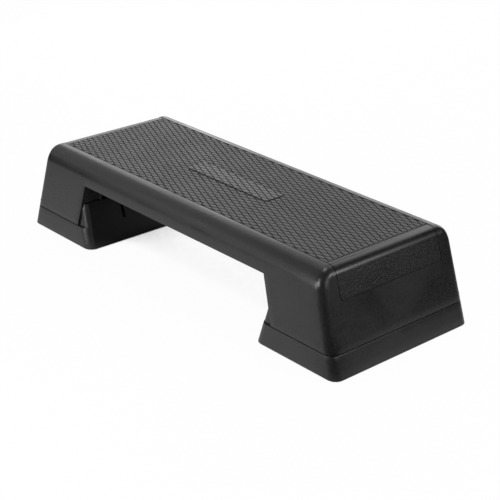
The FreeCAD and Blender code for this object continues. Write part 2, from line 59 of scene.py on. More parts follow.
class Moulding:
    """Gathers the surface grids and closed prisms of one moulded piece, and joins them where points meet."""

    def __init__(self):
        self.points, self.quads, self.polygons, self.count = [], [], [], 0

    def add(self, points):
        points = np.asarray(points, float).reshape(-1, 3)
        first = self.count
        self.points.append(points)
        self.count += len(points)
        return first

    def grid(self, points, keep=None, closed=False):
        """Quads between neighbouring points of a rows by columns grid; a closed grid joins its last column
        to its first. keep tells which quads stay."""
        rows, columns = points.shape[:2]
        index = self.add(points) + np.arange(rows * columns).reshape(rows, columns)
        after = np.roll(index, -1, axis=1) if closed else index[:, 1:]
        before = index if closed else index[:, :-1]
        quads = np.stack([before[:-1], after[:-1], after[1:], before[1:]], axis=-1)
        self.quads.append(quads.reshape(-1, 4) if keep is None else quads[keep])

    def polygon(self, points):
        first = self.add(points)
        self.polygons.append(range(first, self.count))

    def prism(self, low, high):
        """Closed prism between two outlines with the same number of corners."""
        low, high = np.asarray(low, float), np.asarray(high, float)
        self.grid(np.stack([low, high]), closed=True)
        self.polygon(low)
        self.polygon(high)

    def slab(self, low, high):
        """Closed block between two opposite corners."""
        (x0, y0, z0), (x1, y1, z1) = low, high
        ring = np.array([(x0, y0), (x1, y0), (x1, y1), (x0, y1)])
        self.prism(np.insert(ring, 2, z0, axis=1), np.insert(ring, 2, z1, axis=1))

    def post(self, centre, radius, low, high, sides=32):
        """Upright round post: a circle of points at two heights."""
        turn = np.linspace(0, 2 * math.pi, sides, endpoint=False)
        ring = np.stack([centre[0] + radius * np.cos(turn), centre[1] + radius * np.sin(turn)], axis=1)
        self.prism(np.insert(ring, 2, low, axis=1), np.insert(ring, 2, high, axis=1))

    def finish(self, name, sharp=40):
        """Points nearer than a hundredth of a millimetre become one, quads that collapse become triangles or
        go, and edges steeper than the sharp angle stay crisp."""
        points = np.concatenate(self.points)
        keys = np.round(points / 1e-5).astype(np.int64)
        _, first, joined = np.unique(keys, axis=0, return_index=True, return_inverse=True)
        joined = joined.reshape(-1)
        quads = joined[np.concatenate(self.quads)]
        twin = quads == np.roll(quads, -1, axis=1)
        triangles = quads[twin.sum(1) == 1]
        triangles = triangles[~twin[twin.sum(1) == 1]].reshape(-1, 3)
        crossed = (quads[:, 0] == quads[:, 2]) | (quads[:, 1] == quads[:, 3])
        quads = quads[(twin.sum(1) == 0) & ~crossed]
        polygons = [list(dict.fromkeys(joined[list(ring)].tolist())) for ring in self.polygons]
        polygons = [ring for ring in polygons if len(ring) > 2]
        mesh = bpy.data.meshes.new(name)
        mesh.from_pydata(points[first].tolist(), [], quads.tolist() + triangles.tolist() + polygons)
        work = bmesh.new()
        work.from_mesh(mesh)
        bmesh.ops.recalc_face_normals(work, faces=work.faces)
        work.to_mesh(mesh)
        work.free()
        mesh.polygons.foreach_set("use_smooth", np.ones(len(mesh.polygons), bool))
        mesh.set_sharp_from_angle(angle=math.radians(sharp))
        piece = bpy.data.objects.new(name, mesh)
        bpy.context.scene.collection.objects.link(piece)
        return piece


def leaning_reach(z, half, lean, rounding, inset):
    """Distance of a face from the middle at height z, and its fullness: a straight leaning line, then a
    circle whose centre lies one rounding under the top. inset moves both in along the normal. Fullness is 1
    on the straight line and falls to 0 where the circle meets the top."""
    slant = math.hypot(1, lean)
    centre = half - lean * deck_height - rounding * (slant - lean)
    radius = rounding - inset
    rise = z - (deck_height - rounding)
    flat = rise <= radius * lean / slant
    bend = np.sqrt(np.maximum(radius ** 2 - rise ** 2, 0))
    return np.where(flat, half - lean * z - inset * slant, centre + bend), np.where(flat, 1, bend / radius)


def channel_edge(z, half, corner, low):
    """Half width of the channel at height z: a quarter circle at its lower corners, straight above them."""
    drop = np.clip(low + corner - z, 0, corner)
    return half - corner + np.sqrt(np.maximum(corner ** 2 - drop ** 2, 0))


def soft_tuck(gap, radius):
    """How far a surface tucks in at a distance gap from its edge: a quarter circle of the given radius."""
    left = radius - np.clip(gap, 0, radius)
    return radius - np.sqrt(np.maximum(radius ** 2 - left ** 2, 0))


def part_way(count):
    """Even shares of a run from 0, without its end."""
    return np.linspace(0, 1, count, endpoint=False)


def deck_quarter(z, end_inset, side_inset, corner, soft):
    """x and y of one quarter of the shell, a row for each height: along the front from the middle past the
    arch edge, round the upright corner, past the channel's edge and on to the middle of the end."""
    reach, end_full = leaning_reach(z, end_half, end_lean, end_round, end_inset)
    width, side_full = leaning_reach(z, side_half, side_lean, side_round, side_inset)
    bend = np.maximum(corner * np.sqrt(end_full * side_full), least_bend)
    edge = channel_edge(z, channel_half, channel_corner, channel_low)
    z, reach, width, bend, edge = (value[:, None] for value in (z, reach, width, bend, edge))
    arch = arch_half + np.maximum(beam_low - z, 0) * arch_lean
    start = arch + soft
    front_x = np.concatenate([
        arch * part_way(beam_steps), arch + soft * soft_shares[None, :edge_steps],
        start + (reach - bend - start) * part_way(leg_steps)], axis=1)
    gap = (front_x - arch_half - (beam_low - z) * arch_lean) / math.hypot(1, arch_lean)
    front_y = soft_tuck(np.maximum(gap, z - beam_low), soft) - width
    turn = part_way(bend_steps) * math.pi / 2
    end_y = np.concatenate([
        bend - width + (width - bend - edge) * part_way(flank_steps),
        -edge * (1 - np.linspace(0, 1, middle_steps + 1))], axis=1)
    x = np.concatenate([front_x, reach - bend + bend * np.sin(turn), reach + 0 * end_y], axis=1)
    y = np.concatenate([front_y, bend - width - bend * np.cos(turn), end_y], axis=1)
    return x, y


def all_round(x, y, z):
    """The whole outline from one quarter, mirrored front to back and end to end."""
    along = np.concatenate([x[:, :-1], x[:, :0:-1], -x[:, :-1], -x[:, :0:-1]], axis=1)
    across = np.concatenate([y[:, :-1], -y[:, :0:-1], -y[:, :-1], y[:, :0:-1]], axis=1)
    return np.stack([along, across, np.broadcast_to(z[:, None], along.shape)], axis=-1)


turn = np.radians(np.arange(0, 91, 30))
rim_rows = rim_height + soft_edge * (1 - np.cos(turn))
wall_rows = np.linspace(rim_height + soft_edge, channel_low, 8)[1:-1]
channel_rows = channel_low + channel_corner * (1 - np.cos(np.radians(np.arange(0, 91, 15))))
lower_rows = np.concatenate([rim_rows, wall_rows, channel_rows, [beam_low]])
rim_tuck = np.zeros(len(lower_rows))
rim_tuck[:len(turn)] = soft_edge * (1 - np.sin(turn))
beam_row = len(lower_rows) - 1
channel_row = len(rim_rows) + len(wall_rows)
beam_edge = beam_low + soft_edge * soft_shares[1:]
side_turn = math.atan(side_lean)
rise = np.sin(np.linspace(side_turn, math.pi / 2, round_rows))
outer_z = np.concatenate([lower_rows, beam_edge, deck_height - side_round + side_round * rise])
outer_tuck = np.concatenate([rim_tuck, np.zeros(len(outer_z) - len(lower_rows))])
hollow_round = side_round - side_wall
hollow_top = deck_height - end_wall
hollow_turn = math.asin((hollow_top - deck_height + side_round) / hollow_round)
rise = np.sin(np.linspace(side_turn, hollow_turn, hollow_rows))
inner_z = np.concatenate([lower_rows, beam_edge, deck_height - side_round + hollow_round * rise])

deck = Moulding()
quarter_x, quarter_y = deck_quarter(outer_z, outer_tuck, outer_tuck, upright_bend, soft_edge)
outside = all_round(quarter_x, quarter_y, outer_z)
hollow_x, hollow_y = deck_quarter(inner_z, end_wall, side_wall, hollow_bend, 0)
inside = all_round(hollow_x, hollow_y, inner_z)
steps = np.repeat(["beam", "leg", "corner", "flank", "middle"],
                  [beam_steps, edge_steps + leg_steps, bend_steps, flank_steps, middle_steps])
steps = np.concatenate([steps, steps[::-1], steps, steps[::-1]])
under_beam = (np.arange(len(outer_z) - 1) < beam_row)[:, None] & (steps == "beam")
over_cover = (np.arange(len(outer_z) - 1) >= channel_row)[:, None] & (steps == "middle")
deck.grid(outside, ~(under_beam | over_cover), closed=True)
deck.grid(inside, ~((np.arange(len(inner_z) - 1) < beam_row)[:, None] & (steps == "beam")), closed=True)
deck.polygon(inside[-1])

# Rim, arch edges and the beam's lower edge close the wall between outside and inside
lower = np.stack([outside[:beam_row + 1], inside[:beam_row + 1]])
deck.grid(lower[:, 0], (steps != "beam")[None], closed=True)
deck.grid(lower[:, beam_row], (steps == "beam")[None], closed=True)
quarter = len(steps) // 4
for column in (beam_steps, 2 * quarter - beam_steps, 2 * quarter + beam_steps, 4 * quarter - beam_steps):
    deck.grid(lower[:, :, column])

# Channel: its side walls stand on the outline that the covers and the mat fill, with its floor under it
end_x, end_z = quarter_x[channel_row:, -1], outer_z[channel_row:]
end_edge = channel_edge(end_z, channel_half, channel_corner, channel_low)
slant = math.hypot(1, end_lean)
bend_x = end_half - end_lean * deck_height - end_round * (slant - end_lean)
bend_z = deck_height - end_round
on_bend = end_z - bend_z > end_round * end_lean / slant
floor_x = end_x - channel_depth * np.where(on_bend, (end_x - bend_x) / end_round, 1 / slant)
floor_z = end_z - channel_depth * np.where(on_bend, (end_z - bend_z) / end_round, end_lean / slant)
bend_column = beam_steps + edge_steps + leg_steps
top_x = quarter_x[-1, :bend_column + 1]
top_x = np.concatenate([top_x[::-1], -top_x[1:]])
level = np.full(len(top_x), deck_height)
line_x = np.concatenate([end_x, top_x, -end_x[::-1]])
line_z = np.concatenate([end_z, level, end_z[::-1]])
sunk_x = np.concatenate([floor_x, top_x, -floor_x[::-1]])
sunk_z = np.concatenate([floor_z, level - channel_depth, floor_z[::-1]])
line_y = np.concatenate([end_edge, np.full(len(top_x), channel_half), end_edge[::-1]])
across = np.linspace(-1, 1, 2 * middle_steps + 1)
edge = np.stack(np.broadcast_arrays(line_x[:, None], line_y[:, None] * across, line_z[:, None]), axis=-1)
floor = np.stack(np.broadcast_arrays(sunk_x[:, None], line_y[:, None] * across, sunk_z[:, None]), axis=-1)
deck.grid(floor)
for wall in (np.stack([edge[:, 0], floor[:, 0]]), np.stack([edge[:, -1], floor[:, -1]]),
             np.stack([edge[0], floor[0]]), np.stack([edge[-1], floor[-1]])):
    deck.grid(wall)

# Narrow flat strips between the side roundings and the channel
top_line = np.stack([top_x, np.full(len(top_x), quarter_y[-1, 0]), level], axis=-1)
top_edge = np.stack([top_x, np.full(len(top_x), -channel_half), level], axis=-1)
bend_columns = np.s_[-1, bend_column:bend_column + bend_steps + flank_steps + 1]
corner_x, corner_y = quarter_x[bend_columns], quarter_y[bend_columns]
corner_line = np.stack([corner_x, corner_y, np.full(len(corner_x), deck_height)], axis=-1)
corner_line = np.concatenate([corner_line, [[corner_x[0], -channel_half, deck_height]]])
for back in (1, -1):
    deck.grid(np.stack([top_line, top_edge]) * [1, back, 1])
    for end in (1, -1):
        deck.polygon(corner_line * [end, back, 1])

# Ribs from front to back and along the length, and the deeper bearing ribs that stand on the feet
rib_top, rib_low, rib_half, rib_reach = 0.195, 0.155, 0.0015, 0.1744
rib_knee, rib_knee_z, rib_shoulder = 0.1740, 0.1627, 0.13705
bearing_at, bearing_half, bearing_low, bearing_reach = 0.381, 0.002, 0.100, 0.1771
long_reach, long_knee, long_knee_z, long_shoulder = 0.4435, 0.4355, 0.1824, 0.4168
fin_at, fin_near, fin_far, fin_half, fin_low = 0.077, 0.30503, 0.34103, 0.0025, 0.054


def cross_rib(x, half, low, reach):
    """Front-to-back rib: six corners that follow the side walls, thickened to both sides of x."""
    outline = np.array([(-reach, low), (reach, low), (rib_knee, rib_knee_z), (rib_shoulder, rib_top),
                        (-rib_shoulder, rib_top), (-rib_knee, rib_knee_z)])
    deck.prism(np.insert(outline, 0, x - half, axis=1), np.insert(outline, 0, x + half, axis=1))


for x in np.linspace(-arch_half, arch_half, 9):
    cross_rib(x, rib_half, rib_low, rib_reach)
for x in (-bearing_at, bearing_at):
    cross_rib(x, bearing_half, bearing_low, bearing_reach)
for y in (-fin_at, 0, fin_at):
    outline = np.array([(-long_reach, rib_low), (long_reach, rib_low), (long_knee, long_knee_z),
                        (long_shoulder, rib_top), (-long_shoulder, rib_top), (-long_knee, long_knee_z)])
    deck.prism(np.insert(outline, 1, y - rib_half, axis=1), np.insert(outline, 1, y + rib_half, axis=1))

# Fins that hang into the feet, return flanges with a lip along their free edge, and posts for the pads
flange_free, flange_wall, flange_lip = 0.1296, 0.004, 0.008
flange_ends = ((0.102, 0.17699), (0.1627, 0.17401))
post_x, post_y, post_radius, post_top = 0.46214, 0.17161, 0.0075, 0.0616
for end in (-1, 1):
    for y in (-fin_at, fin_at):
        deck.slab((end * fin_near, y - fin_half, fin_low), (end * fin_far, y + fin_half, rib_top))
    for back in (-1, 1):
        sections = []
        for z, wall in flange_ends:
            arch = arch_half + (beam_low - z) * arch_lean
            sections.append(np.array([
                (arch, wall, z), (arch + flange_wall, wall, z), (arch + flange_wall, flange_free, z),
                (arch - flange_lip, flange_free, z), (arch - flange_lip, flange_free + flange_wall, z),
                (arch, flange_free + flange_wall, z)]) * [end, back, 1])
        deck.prism(*sections)
        deck.post((end * post_x, back * post_y), post_radius, rim_height, post_top)
deck_shell = deck.finish("deck_shell_moulding")


class Wire:
    """One value in a node tree. Sums and products of it add Math nodes, and node adds any other node."""

    def __init__(self, tree, socket=None):
        self.tree, self.socket = tree, socket

    def node(self, kind, settings=None, values=None, output=0):
        made = self.tree.nodes.new(kind)
        for key, setting in (settings or {}).items():
            setattr(made, key, setting)
        for key, value in (values or {}).items():
            if isinstance(value, Wire):
                self.tree.links.new(value.socket, made.inputs[key])
            else:
                made.inputs[key].default_value = value
        return Wire(self.tree, made.outputs[output]) if len(made.outputs) else None

    def maths(self, operation, *values):
        return self.node("ShaderNodeMath", {"operation": operation}, dict(enumerate(values)))

    def __add__(self, other):
        return self.maths("ADD", self, other)

    def __radd__(self, other):
        return self.maths("ADD", other, self)

    def __mul__(self, other):
        return self.maths("MULTIPLY", self, other)

    def __rmul__(self, other):
        return self.maths("MULTIPLY", other, self)


def new_finish(name):
    """A new material with an empty node tree, and the wire that adds nodes to it."""
    material = bpy.data.materials.new(name)
    material.use_nodes = True
    material.node_tree.nodes.clear()
    return material, Wire(material.node_tree)


def moulded_plastic(name, dark, light, gloss, grain_depth):
    """Black moulded plastic: cloudy changes of tone and gloss a hand wide, and a fine eroded grain that
    shows in tone, gloss and relief."""
    material, wire = new_finish(name)
    place = wire.node("ShaderNodeTexCoord", output="Object")
    cloud = wire.node("ShaderNodeTexNoise",
                      values={"Vector": place, "Scale": 9, "Detail": 3, "Distortion": 0.6})
    cloud = wire.node("ShaderNodeMapRange", values={0: cloud, 1: 0.33, 2: 0.67, 3: 0, 4: 1})
    grain = wire.node("ShaderNodeTexNoise", values={"Vector": place, "Scale": 230, "Detail": 3})
    grain = wire.node("ShaderNodeMapRange", values={0: grain, 1: 0.30, 2: 0.70, 3: 0, 4: 1})
    tone = wire.node("ShaderNodeMix", {"data_type": "RGBA"},
                     {0: 0.4 * cloud + 0.6 * grain, 6: dark, 7: light}, 2)
    rough = gloss + 0.10 * cloud + 0.05 * grain
    bump = wire.node("ShaderNodeBump", values={"Strength": 0.5, "Distance": grain_depth, "Height": grain})
    shader = wire.node("ShaderNodeBsdfPrincipled", values={
        "Base Color": tone, "Roughness": rough, "Normal": bump, "Specular IOR Level": 0.5})
    wire.node("ShaderNodeOutputMaterial", values={"Surface": shader})
    return material


shell_plastic = moulded_plastic("shell_plastic", dark=(0.006, 0.006, 0.0064, 1),
                                light=(0.016, 0.016, 0.0165, 1), gloss=0.25, grain_depth=0.00015)
deck_shell.data.materials.append(shell_plastic)
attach(deck_shell, "deck")
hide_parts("deck_shell")


# Feet. Two hollow black plastic mouldings with walls of 4 mm. A plinth lies flush under the shell, and a
# plug stands up into the leg. The wall towards the middle is one leaning plane with two slots for the
# shell's fins.

foot_near, foot_top, foot_wall, foot_round = 0.270, 0.100, 0.004, 0.0025
foot_low, plinth_roof, plinth_top, hollow_roof = 0.0015, 0.043, 0.047, 0.0935
plinth_rows = ((foot_low, 0.0008), (0.00161, 0.0004), (0.0019, 0.00011), (0.0023, 0), (0.020, 0), (0.036, 0))
ledge_rows = ((0.0462, 0), (0.0466, 0.00011), (0.04689, 0.0004), (plinth_top, 0.0008))
plug_end, plug_side = 0.008, 0.005
plug_bends, plug_hollow_bends = (0.015, 0.046), (0.011, 0.042)
slot_at, slot_half, slot_end, slot_row_z = 0.077, 0.004, 0.3425, 0.052
plug_rows = (slot_row_z, 0.064, 0.080)
arc_points = 11
core_near, core_far, core_side = 0.016, 0.047, 0.047
core_share = np.array([0, 0.14, 0.30, 0.46, 0.64, 0.82, 1])
half_lines = np.array([0, 0.024, 0.048, 0.073, 0.07417, 0.077, 0.07983, 0.081, 0.098])
foot_lines = np.concatenate([-half_lines[:0:-1], half_lines])


def foot_outline(z, near, end, side, near_bend, far_bend):
    """x and y of a foot at height z, a row for each height: along the inner wall from front to back on set
    lines, round the inner corner, along the back, round the outer corner, back along the end, and so on.
    near, end and side move the walls in; the corners are quarter circles of the two bends."""
    z, near, end, side, near_bend, far_bend = (
        np.atleast_1d(value)[:, None] for value in (z, near, end, side, near_bend, far_bend))
    near_x = foot_near + end_lean * z + near * slant
    far_x = end_half - end_lean * z - end * slant
    width = side_half - side_lean * z - side * math.hypot(1, side_lean)
    turn = np.linspace(0, math.pi / 2, arc_points)[None]
    lines = np.broadcast_to(foot_lines, (len(z), len(foot_lines)))
    side_x = near_x + near_bend + (far_x - far_bend - near_x - near_bend) * core_share[None, 1:-1]
    near_arc = near_x + near_bend * (1 - np.cos(turn)), width - near_bend * (1 - np.sin(turn))
    far_arc = far_x - far_bend * (1 - np.sin(turn)), width - far_bend * (1 - np.cos(turn))
    x = [near_x + 0 * lines, near_arc[0], side_x, far_arc[0],
         far_x + 0 * lines, far_arc[0][:, ::-1], side_x[:, ::-1], near_arc[0][:, ::-1]]
    y = [lines, near_arc[1], width + 0 * side_x, far_arc[1],
         lines[:, ::-1], -far_arc[1][:, ::-1], -width + 0 * side_x, -near_arc[1][:, ::-1]]
    return np.concatenate(x, axis=1), np.concatenate(y, axis=1)


def foot_surface(rows):
    """Points of a foot's surface from rows of height, near, end and side insets and the two corner bends,
    with the row at the slots' lower end drawn down to a half round, and a flat core that fills the top."""
    z, near, end, side, near_bend, far_bend = np.array(rows, float).T
    x, y = foot_outline(z, near, end, side, near_bend, far_bend)
    height = np.broadcast_to(z[:, None], x.shape).copy()
    slot_row = int(np.argmin(np.abs(z - slot_row_z)))
    count = len(foot_lines)
    off = np.abs(np.abs(foot_lines) - slot_at)
    dip = np.sqrt(np.maximum(slot_half ** 2 - off ** 2, 0)) * (off < slot_half + 1e-6)
    height[slot_row, :count] -= dip
    x[slot_row, :count] -= dip * end_lean
    skin = np.stack([x, y, height], axis=-1)
    top = z[-1]
    low_x = foot_near + end_lean * foot_top + core_near * slant
    high_x = end_half - end_lean * foot_top - core_far * slant
    wide = side_half - side_lean * foot_top - core_side
    core_x = low_x + (high_x - low_x) * core_share
    core_x[2] = slot_end
    lines = np.concatenate([[-wide], foot_lines, [wide]])
    core = np.stack(np.broadcast_arrays(core_x[:, None], lines, np.float64(top)), axis=-1)
    ring = np.concatenate([core[0, 1:-1], np.repeat(core[:1, -1], arc_points, axis=0), core[1:-1, -1],
                           np.repeat(core[-1:, -1], arc_points, axis=0), core[-1, -2:0:-1],
                           np.repeat(core[-1:, 0], arc_points, axis=0), core[-2:0:-1, 0],
                           np.repeat(core[:1, 0], arc_points, axis=0)])
    return np.concatenate([skin, ring[None]]), core, slot_row


def foot_rows():
    """Rows of a foot from floor to top for its outside and its hollow: soft lower edge, plinth, ledge, plug
    and rounded top edge."""
    hollow_end, hollow_side = plug_end + foot_wall, plug_side + foot_wall
    outer, inner = [], []
    for z, tuck in plinth_rows:
        outer.append((z, tuck, tuck, tuck, upright_bend - tuck, upright_bend - tuck))
        inner.append((z, foot_wall, foot_wall, foot_wall, hollow_bend, hollow_bend))
    for z, tuck in ledge_rows:
        outer.append((z, 0, tuck, tuck, upright_bend - tuck, upright_bend))
        inner.append((plinth_roof, foot_wall, foot_wall, foot_wall, hollow_bend, hollow_bend))
    outer.append((plinth_top, 0, plug_end, plug_side, *plug_bends))
    inner.append((plinth_roof, foot_wall, hollow_end, hollow_side, *plug_hollow_bends))
    for z in plug_rows:
        outer.append((z, 0, plug_end, plug_side, *plug_bends))
        inner.append((z, foot_wall, hollow_end, hollow_side, *plug_hollow_bends))
    for turn in np.radians(np.arange(0, 91, 18)):
        rise, tuck = foot_round * math.sin(turn), foot_round * (1 - math.cos(turn))
        outer.append((foot_top - foot_round + rise, tuck, plug_end + tuck, plug_side + tuck, *plug_bends))
        inner.append((hollow_roof + rise, foot_wall + tuck, hollow_end + tuck, hollow_side + tuck,
                      *plug_hollow_bends))
    return outer, inner


def make_foot(end):
    """Outside and hollow of one foot, joined by its lower rim and the slots' walls, with ribs and posts."""
    outer_rows, inner_rows = foot_rows()
    outer, outer_core, slot_row = foot_surface(outer_rows)
    inner, inner_core, slot_row = foot_surface(inner_rows)
    columns = outer.shape[1]
    rows = np.arange(len(outer) - 1)
    in_slot = np.zeros(columns, bool)
    middle = np.abs(np.abs((foot_lines[1:] + foot_lines[:-1]) / 2) - slot_at) < slot_half
    in_slot[:len(middle)] = middle
    keep = ~((rows >= slot_row)[:, None] & in_slot)
    keep_core = np.ones((len(core_share) - 1, len(foot_lines) + 1), bool)
    keep_core[:2, 1:-1] = ~middle
    foot = Moulding()
    way = [end, 1, 1]
    foot.grid(outer * way, keep, closed=True)
    foot.grid(outer_core * way, keep_core)
    foot.grid(inner * way, keep, closed=True)
    foot.grid(inner_core * way, keep_core)
    # Lower rim, and the walls of the slots through the inner wall and the top
    foot.grid(np.stack([outer[0], inner[0]]) * way, closed=True)
    pair, core_pair = np.stack([outer, inner]), np.stack([outer_core, inner_core])
    starts = np.flatnonzero(np.diff(np.concatenate([[0], middle.astype(int)])) == 1)
    for start in starts:
        stop = start + 4
        foot.grid(pair[:, slot_row, start:stop + 1] * way)
        for column in (start, stop):
            foot.grid(pair[:, slot_row:, column] * way)
            foot.grid(core_pair[:, :3, column + 1] * way)
        foot.grid(core_pair[:, 2, start + 1:stop + 2] * way)
    # Ribs under the top, and the posts that hold the pads
    low, high, wide_low, wide_high = 0.012, 0.098, 0.1759, 0.1716
    rib = np.array([(-wide_low, low), (wide_low, low), (wide_high, high), (-wide_high, high)])
    foot.prism(np.insert(rib, 0, end * 0.3795, axis=1), np.insert(rib, 0, end * 0.3825, axis=1))
    rib = np.array([(0.2756, low), (0.4781, low), (0.4532, high), (0.3005, high)]) * [end, 1]
    foot.prism(np.insert(rib, 1, -rib_half, axis=1), np.insert(rib, 1, rib_half, axis=1))
    for x in (0.300, 0.462):
        for y in (-0.164, 0.164):
            foot.post((end * x, y), radius=0.015, low=0.004, high=0.045)
    return foot


foot_plastic = moulded_plastic("foot_plastic", dark=(0.007, 0.007, 0.0074, 1),
                               light=(0.017, 0.017, 0.0175, 1), gloss=0.28, grain_depth=0.00015)
for name, end in (("left_foot", -1), ("right_foot", 1)):
    foot = make_foot(end).finish(f"{name}_moulding")
    foot.data.materials.append(foot_plastic)
    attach(foot, name)
    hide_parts(name)


# Rubber pads. Black push-in discs under the feet and in the shell's corner posts. Their own shapes are plain
# turned ones, so the frame's solids stay, with a dull rubber finish scuffed all over.

material, wire = new_finish("pad_rubber")
place = wire.node("ShaderNodeTexCoord", output="Object")
scuff = wire.node("ShaderNodeTexNoise", values={"Vector": place, "Scale": 160, "Detail": 4})
tone = wire.node("ShaderNodeMix", {"data_type": "RGBA"},
                 {0: scuff, 6: (0.012, 0.012, 0.012, 1), 7: (0.030, 0.029, 0.028, 1)}, 2)
bump = wire.node("ShaderNodeBump", values={"Strength": 0.3, "Distance": 0.0003, "Height": scuff})
shader = wire.node("ShaderNodeBsdfPrincipled", values={
    "Base Color": tone, "Roughness": 0.6 + 0.25 * scuff, "Normal": bump})
wire.node("ShaderNodeOutputMaterial", values={"Surface": shader})
for name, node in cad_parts.items():
    if "_pad_" in name:
        node.data.materials.clear()
        node.data.materials.append(material)


# Tread mat. A dark grey rubber sheet laid in the channel, moulded with diamond tiles between narrow
# grooves, and with a raised plate with rounded corners in its middle, tiled as the sheet is.

mat_half_x, mat_half_y, mat_low, mat_corner = 0.4105, 0.1345, 0.197, 0.002
groove_floor, groove_width, tile_top = 0.1983, 0.0015, 0.200
tile_x, tile_y, tile_margin, tile_sunk = 0.01484, 0.00656, 0.0004, 0.0002
tile_count, tip_share, least_tile, most_drawn = 80, 0.95, 0.0005, 0.8
tile_edge = ((0.0001, 0.0005), (0.0004, 0.00012), (0.0013, 0))
plate_half_x, plate_half_y, plate_corner, plate_floor, plate_top = 0.1265, 0.026, 0.010, 0.1990, 0.2012
plate_moat, plate_groove, corner_sides = 0.0016, 0.0014, 6


def rounded_sides(half_x, half_y, corner, count):
    """Half planes whose common part is a rectangle with rounded corners: unit normals and distances. The
    corners are tangents to their circles at even turns, count of them to a quarter."""
    turn = np.linspace(0, 2 * math.pi, 4 * count, endpoint=False)
    normals = np.stack([np.cos(turn), np.sin(turn)], axis=1)
    reach = np.abs(normals) @ np.array([half_x - corner, half_y - corner]) + corner
    return normals, reach


def tile_patch(moulding, border, groove, low, high, hole=None):
    """Diamond tiles inside a border and outside a hole. A tile is what its four sides, its cut tips, the
    border and the hole's nearest side leave. Every two of these lines cross in a point: the crossings that
    lie inside all the others are the tile's corners, in the order of their turn round the middle. Four
    rings, each drawn in towards the middle and set higher, make the tile's wall, its soft edge and its
    slightly crowned top."""
    number = np.arange(-tile_count, tile_count + 1)
    first, second = (grid.reshape(-1) for grid in np.meshgrid(number, number))
    centre = np.stack([(first + second + 1) * tile_x, (first - second) * tile_y], axis=1)
    span = np.array([tile_x, tile_y])
    centre = centre[(centre @ border[0].T < border[1] + span.max()).all(1)]
    side = np.array([(a, b) for a in (-1, 1) for b in (-1, 1)]) / span
    length = np.linalg.norm(side, axis=1)
    tips = np.array([(1, 0), (-1, 0), (0, 1), (0, -1)])
    own = np.concatenate([side / length[:, None], tips])
    own_reach = np.concatenate([1 / length - groove / 2, tip_share * span[[0, 0, 1, 1]]])
    own_reach = np.broadcast_to(own_reach, (len(centre), len(own)))
    room = np.concatenate([own_reach, border[1] - centre @ border[0].T], axis=1)
    faces = np.broadcast_to(np.concatenate([own, border[0]]), room.shape + (2,))
    if hole is not None:
        beyond = centre @ hole[0].T - hole[1]
        room = np.concatenate([room, beyond.max(1)[:, None]], axis=1)
        faces = np.concatenate([faces, -hole[0][beyond.argmax(1)][:, None]], axis=1)
    one, other = np.triu_indices(room.shape[1], 1)
    cross = faces[:, one, 0] * faces[:, other, 1] - faces[:, one, 1] * faces[:, other, 0]
    cross = np.where(np.abs(cross) > 1e-6, cross, np.nan)[..., None]
    spots = (room[:, one, None] * np.stack([faces[:, other, 1], -faces[:, other, 0]], axis=-1)
             + room[:, other, None] * np.stack([-faces[:, one, 1], faces[:, one, 0]], axis=-1)) / cross
    held = (np.einsum("tpi,tki->tpk", spots, faces) < room[:, None] + 1e-8).all(-1)
    count = held.sum(1)
    middle = np.where(held[..., None], spots, 0).sum(1) / np.maximum(count, 1)[:, None]
    clear = (room - np.einsum("ti,tki->tk", middle, faces)).min(1)
    kept = (count > 2) & (clear > least_tile)
    spots, held, count, middle, clear, centre = (v[kept] for v in (spots, held, count, middle, clear, centre))
    turn = np.arctan2(spots[..., 1] - middle[:, None, 1], spots[..., 0] - middle[:, None, 0])
    order = np.argsort(np.where(held, turn, np.inf), axis=1)
    order = np.take_along_axis(order, np.minimum(np.arange(count.max()), count[:, None] - 1), axis=1)
    corners = np.take_along_axis(spots, order[..., None], axis=1)
    rings = []
    for inset, z in [(0, low)] + [(inset, high - drop) for inset, drop in tile_edge]:
        drawn = 1 - np.minimum(inset / clear, most_drawn)
        flat = (centre + middle)[:, None] + (corners - middle[:, None]) * drawn[:, None, None]
        rings.append(np.concatenate([flat, np.full(flat.shape[:2] + (1,), z)], axis=-1))
    rings = np.stack(rings)
    base = moulding.add(rings) + np.arange(rings[..., 0].size).reshape(rings.shape[:3])
    after = np.roll(base, -1, axis=2)
    moulding.quads.append(np.stack([base[:-1], after[:-1], after[1:], base[1:]], axis=-1).reshape(-1, 4))
    moulding.polygons.extend(base[0].tolist() + base[-1].tolist())


def rounded_ring(half_x, half_y, corner, z, inset=0.0):
    """Outline of a rectangle with quarter-circle corners, moved in by inset."""
    arc = np.linspace(0, math.pi / 2, corner_sides + 1)
    turn = np.concatenate([arc + quarter * math.pi / 2 for quarter in range(4)])
    along = np.repeat([1, -1, -1, 1], len(arc)) * (half_x - corner) + (corner - inset) * np.cos(turn)
    across = np.repeat([1, 1, -1, -1], len(arc)) * (half_y - corner) + (corner - inset) * np.sin(turn)
    return np.stack([along, across, np.full(len(turn), z)], axis=1)


mat = Moulding()
mat.prism(*(rounded_ring(mat_half_x, mat_half_y, mat_corner, z) for z in (mat_low, groove_floor)))
tile_patch(mat, rounded_sides(mat_half_x - tile_margin, mat_half_y - tile_margin, 0, 1), groove_width,
           groove_floor - tile_sunk, tile_top,
           rounded_sides(plate_half_x + plate_moat, plate_half_y + plate_moat, plate_corner + plate_moat,
                         corner_sides))
plate_profile = ((groove_floor - 0.0001, 0), (plate_floor - 0.0001, 0.0002), (plate_floor, 0.0006))
plate_rings = np.stack([rounded_ring(plate_half_x, plate_half_y, plate_corner, z, inset)
                        for z, inset in plate_profile])
mat.grid(plate_rings, closed=True)
mat.polygon(plate_rings[0])
mat.polygon(plate_rings[-1])
tile_patch(mat, rounded_sides(plate_half_x - tile_margin, plate_half_y - tile_margin,
                              plate_corner - tile_margin, corner_sides),
           plate_groove, plate_floor - tile_sunk, plate_top)
tread_mat = mat.finish("tread_mat_tiles", sharp=50)

